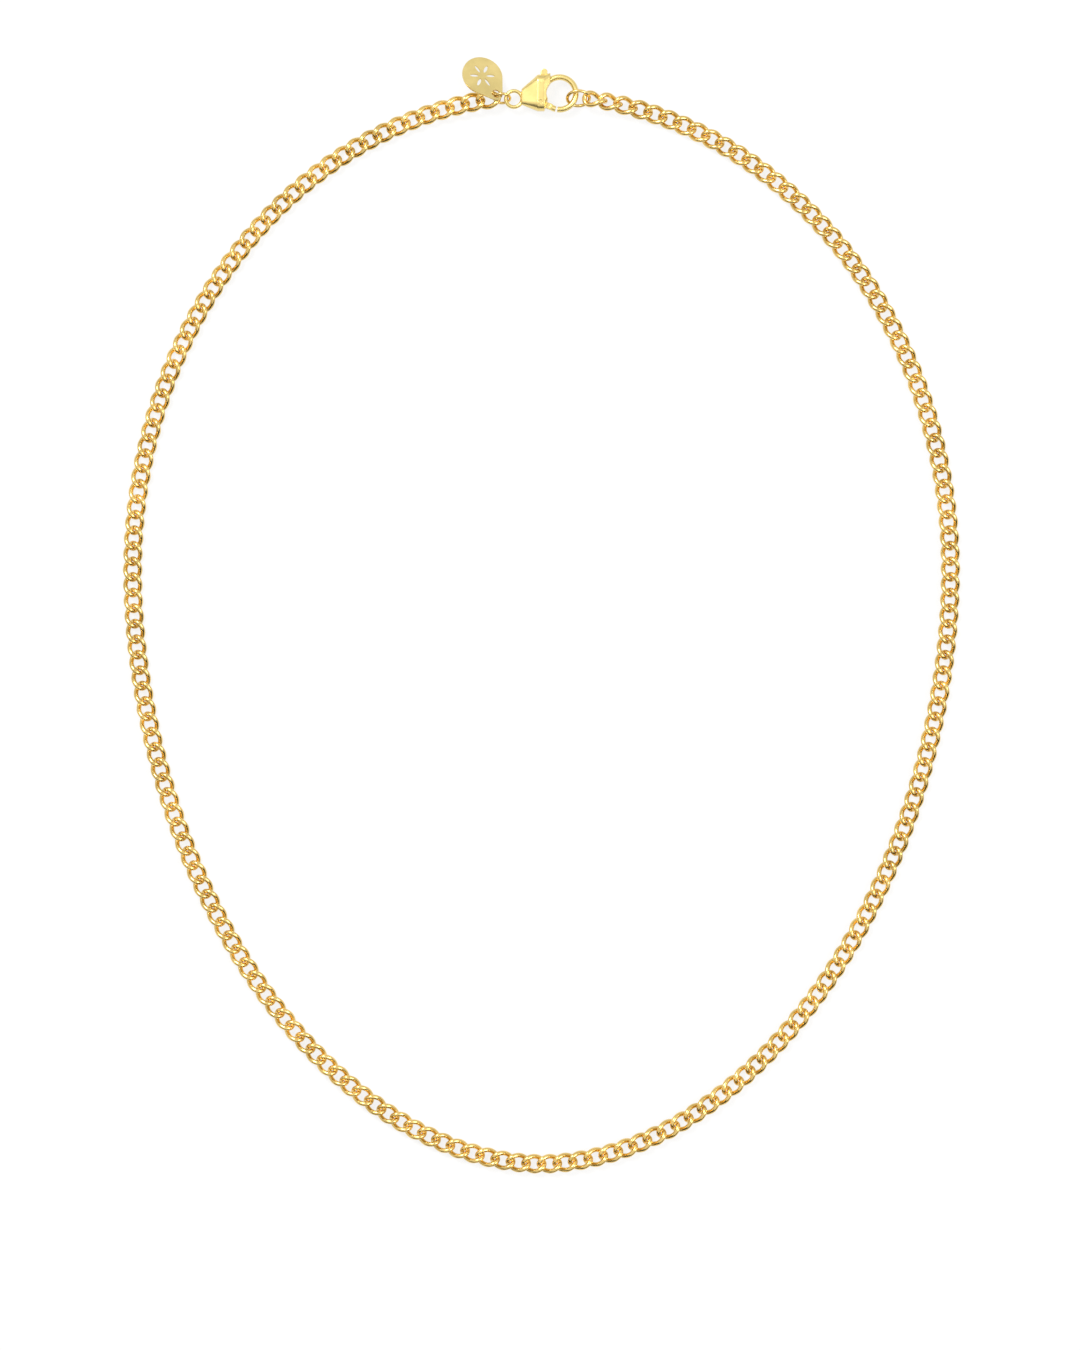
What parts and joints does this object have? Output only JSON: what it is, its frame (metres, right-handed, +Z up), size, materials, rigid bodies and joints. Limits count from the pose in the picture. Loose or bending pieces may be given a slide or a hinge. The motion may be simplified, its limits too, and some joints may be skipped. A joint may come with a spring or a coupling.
{
  "type": "chain necklace",
  "caption": "Necklace of small twisted curb links, closed into a loop by a lobster-claw clasp with a thumb lever, with a small pierced tag on its jump ring.",
  "frame": {"origin": "under the middle of the necklace, on the surface it lies on", "axes": "+X to the right of the flat loop, seen from above with the clasp at the top, +Y towards the clasp, +Z up from the surface"},
  "size_m": [0.1266, 0.1689, 0.0034],
  "materials": {
    "chain_gold": "polished yellow gold",
    "clasp_gold": "satin yellow gold",
    "ring_gold": "polished yellow gold wire",
    "tag_gold": "matt pale gold",
    "spring_steel": "spring steel"
  },
  "bodies": {
    "chain_top": {"chain_left_01": "chain_gold", "chain_right_01": "chain_gold", "chain_left_02": "chain_gold", "chain_right_02": "chain_gold", "chain_left_03": "chain_gold", "chain_right_03": "chain_gold", "chain_left_04": "chain_gold", "chain_right_04": "chain_gold"},
    "chain_strip_01": {"chain_left_05": "chain_gold", "chain_right_05": "chain_gold"},
    "chain_strip_02": {"chain_left_06": "chain_gold", "chain_right_06": "chain_gold"},
    "chain_strip_03": {"chain_left_07": "chain_gold", "chain_right_07": "chain_gold"},
    "chain_strip_04": {"chain_left_08": "chain_gold", "chain_right_08": "chain_gold"},
    "chain_strip_05": {"chain_left_09": "chain_gold", "chain_right_09": "chain_gold"},
    "chain_strip_06": {"chain_left_10": "chain_gold", "chain_right_10": "chain_gold"},
    "chain_strip_07": {"chain_left_11": "chain_gold", "chain_right_11": "chain_gold"},
    "chain_strip_08": {"chain_left_12": "chain_gold", "chain_right_12": "chain_gold"},
    "chain_strip_09": {"chain_left_13": "chain_gold", "chain_right_13": "chain_gold"},
    "chain_strip_10": {"chain_left_14": "chain_gold", "chain_right_14": "chain_gold"},
    "chain_strip_11": {"chain_left_15": "chain_gold", "chain_right_15": "chain_gold"},
    "chain_strip_12": {"chain_left_16": "chain_gold", "chain_right_16": "chain_gold"},
    "chain_strip_13": {"chain_left_17": "chain_gold", "chain_right_17": "chain_gold"},
    "chain_strip_14": {"chain_left_18": "chain_gold", "chain_right_18": "chain_gold"},
    "chain_strip_15": {"chain_left_19": "chain_gold", "chain_right_19": "chain_gold"},
    "chain_bottom": {"chain_left_20": "chain_gold", "chain_right_20": "chain_gold", "chain_left_21": "chain_gold", "chain_right_21": "chain_gold", "chain_left_22": "chain_gold", "chain_right_22": "chain_gold", "chain_left_23": "chain_gold", "chain_right_23": "chain_gold"},
    "clasp": {"clasp_body": "clasp_gold", "clasp_pin": "clasp_gold", "clasp_spring": "spring_steel"},
    "lever": {"clasp_lever": "clasp_gold"},
    "jump_ring": {"jump_ring": "ring_gold"},
    "end_ring": {"end_ring": "ring_gold"},
    "tag": {"tag": "tag_gold"}
  },
  "joints": [
    {"name": "chain_fold_01", "type": "hinge", "parent": "chain_top", "child": "chain_strip_01", "pos_m": [0, 0.0614, 0.00086], "axis": [1, 0, 0], "range_deg": [-16, 16]},
    {"name": "chain_fold_02", "type": "hinge", "parent": "chain_strip_01", "child": "chain_strip_02", "pos_m": [0, 0.05432, 0.00086], "axis": [1, 0, 0], "range_deg": [-16, 16]},
    {"name": "chain_fold_03", "type": "hinge", "parent": "chain_strip_02", "child": "chain_strip_03", "pos_m": [0, 0.04645, 0.00086], "axis": [1, 0, 0], "range_deg": [-16, 16]},
    {"name": "chain_fold_04", "type": "hinge", "parent": "chain_strip_03", "child": "chain_strip_04", "pos_m": [0, 0.03799, 0.00086], "axis": [1, 0, 0], "range_deg": [-16, 16]},
    {"name": "chain_fold_05", "type": "hinge", "parent": "chain_strip_04", "child": "chain_strip_05", "pos_m": [0, 0.02908, 0.00086], "axis": [1, 0, 0], "range_deg": [-16, 16]},
    {"name": "chain_fold_06", "type": "hinge", "parent": "chain_strip_05", "child": "chain_strip_06", "pos_m": [0, 0.01987, 0.00086], "axis": [1, 0, 0], "range_deg": [-16, 16]},
    {"name": "chain_fold_07", "type": "hinge", "parent": "chain_strip_06", "child": "chain_strip_07", "pos_m": [0, 0.01048, 0.00086], "axis": [1, 0, 0], "range_deg": [-16, 16]},
    {"name": "chain_fold_08", "type": "hinge", "parent": "chain_strip_07", "child": "chain_strip_08", "pos_m": [0, 0.00105, 0.00086], "axis": [1, 0, 0], "range_deg": [-16, 16]},
    {"name": "chain_fold_09", "type": "hinge", "parent": "chain_strip_08", "child": "chain_strip_09", "pos_m": [0, -0.00835, 0.00086], "axis": [1, 0, 0], "range_deg": [-16, 16]},
    {"name": "chain_fold_10", "type": "hinge", "parent": "chain_strip_09", "child": "chain_strip_10", "pos_m": [0, -0.01763, 0.00086], "axis": [1, 0, 0], "range_deg": [-16, 16]},
    {"name": "chain_fold_11", "type": "hinge", "parent": "chain_strip_10", "child": "chain_strip_11", "pos_m": [0, -0.02676, 0.00086], "axis": [1, 0, 0], "range_deg": [-16, 16]},
    {"name": "chain_fold_12", "type": "hinge", "parent": "chain_strip_11", "child": "chain_strip_12", "pos_m": [0, -0.03566, 0.00086], "axis": [1, 0, 0], "range_deg": [-16, 16]},
    {"name": "chain_fold_13", "type": "hinge", "parent": "chain_strip_12", "child": "chain_strip_13", "pos_m": [0, -0.04427, 0.00086], "axis": [1, 0, 0], "range_deg": [-16, 16]},
    {"name": "chain_fold_14", "type": "hinge", "parent": "chain_strip_13", "child": "chain_strip_14", "pos_m": [0, -0.05248, 0.00086], "axis": [1, 0, 0], "range_deg": [-16, 16]},
    {"name": "chain_fold_15", "type": "hinge", "parent": "chain_strip_14", "child": "chain_strip_15", "pos_m": [0, -0.06019, 0.00086], "axis": [1, 0, 0], "range_deg": [-16, 16]},
    {"name": "chain_fold_16", "type": "hinge", "parent": "chain_strip_15", "child": "chain_bottom", "pos_m": [0, -0.06722, 0.00086], "axis": [1, 0, 0], "range_deg": [-16, 16]},
    {"name": "clasp_roll", "type": "hinge", "parent": "chain_top", "child": "clasp", "pos_m": [-0.00418, 0.07806, 0.0016], "axis": [1, 0, 0], "range_deg": [-4, 4]},
    {"name": "jump_ring_swing", "type": "hinge", "parent": "chain_top", "child": "jump_ring", "pos_m": [-0.00597, 0.07806, 0.0016], "axis": [1, 0, 0], "range_deg": [-3, 3]},
    {"name": "end_ring_swing", "type": "hinge", "parent": "chain_top", "child": "end_ring", "pos_m": [0.00556, 0.07806, 0.0016], "axis": [1, 0, 0], "range_deg": [-2, 6]},
    {"name": "tag_swing", "type": "hinge", "parent": "jump_ring", "child": "tag", "pos_m": [-0.00688, 0.07844, 0.00226], "axis": [-0.6428, -0.383, -0.6634], "range_deg": [-4, 30]},
    {"name": "lever_open", "type": "hinge", "parent": "clasp", "child": "lever", "pos_m": [-0.00018, 0.07736, 0.0016], "axis": [0, 0, 1], "range_deg": [0, 26], "stiffness_Nm_per_rad": 0.0012, "springref_deg": -8.59, "deforming": ["clasp_spring"]}
  ]
}
